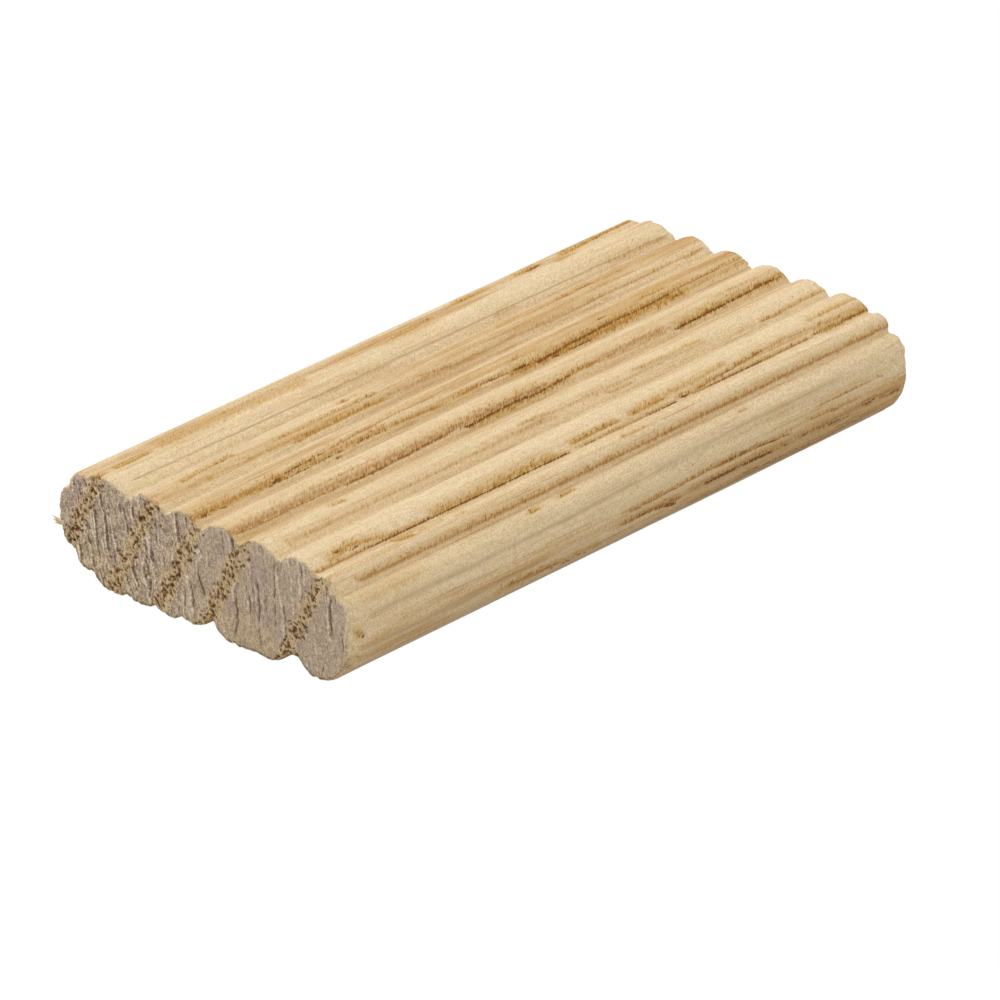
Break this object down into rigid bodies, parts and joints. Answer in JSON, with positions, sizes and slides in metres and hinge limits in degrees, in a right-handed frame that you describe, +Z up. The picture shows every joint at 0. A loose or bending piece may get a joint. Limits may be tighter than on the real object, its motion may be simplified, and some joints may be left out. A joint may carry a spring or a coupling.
{
  "type": "loose tenon",
  "caption": "Loose tenon: a short fluted flat bar of open-grained hardwood with rounded sides and square ends, glued into two facing mortises.",
  "frame": {"origin": "under the middle of the bar, on the plane that its underside rests on", "axes": "+Y along the grain, +X across the width towards the side with the deeper rounding, +Z up through the thickness"},
  "size_m": [0.0312, 0.0636, 0.0095],
  "materials": {
    "ash": "bare open-grained hardwood, machined and unsanded, sawn across the grain at both ends"
  },
  "bodies": {
    "root": {"tenon": "ash"}
  },
  "joints": []
}
